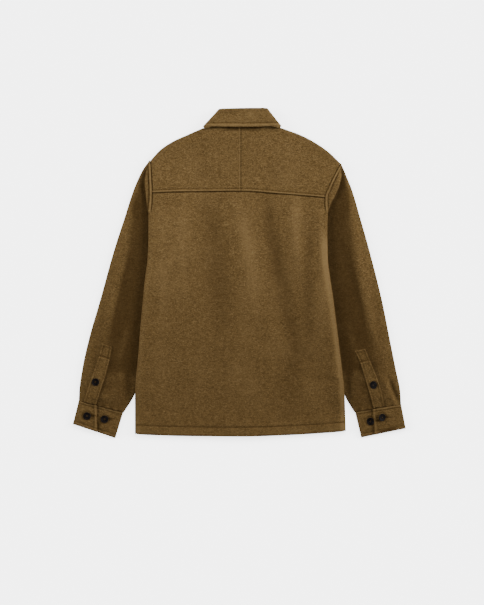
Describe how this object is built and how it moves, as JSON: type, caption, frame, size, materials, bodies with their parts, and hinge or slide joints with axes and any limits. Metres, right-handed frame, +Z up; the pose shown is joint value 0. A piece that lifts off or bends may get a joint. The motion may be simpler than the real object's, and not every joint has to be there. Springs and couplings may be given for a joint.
{
  "type": "wool shacket laid flat",
  "caption": "Brushed wool overshirt laid flat face down, back up, with split yoke, long buttoned-cuff sleeves lying along its sides and a turned-down collar.",
  "frame": {"origin": "centre of the garment's outline, on the surface it lies on", "axes": "+Y to the collar, +X to the right of the picture (the wearer's right), +Z up out of the back"},
  "size_m": [0.7988, 0.7928, 0.0162],
  "materials": {
    "olive_wool": "brushed wool with a soft nap, heather olive brown",
    "dark_button": "near-black with a soft sheen"
  },
  "bodies": {
    "root": {"back_panel": "olive_wool", "yoke_left": "olive_wool", "yoke_right": "olive_wool", "front_left": "olive_wool", "front_right": "olive_wool", "front_band": "olive_wool", "sleeve_left": "olive_wool", "sleeve_right": "olive_wool", "sleeve_placket_left": "olive_wool", "sleeve_placket_right": "olive_wool", "cuff_left": "olive_wool", "cuff_right": "olive_wool", "collar_stand": "olive_wool", "collar_leaf": "olive_wool", "cuff_button_left_1": "dark_button", "cuff_button_left_2": "dark_button", "placket_button_left": "dark_button", "cuff_button_right_1": "dark_button", "cuff_button_right_2": "dark_button", "placket_button_right": "dark_button", "front_button_1": "dark_button", "front_button_2": "dark_button", "front_button_3": "dark_button", "front_button_4": "dark_button", "front_button_5": "dark_button", "front_button_6": "dark_button"}
  },
  "joints": []
}
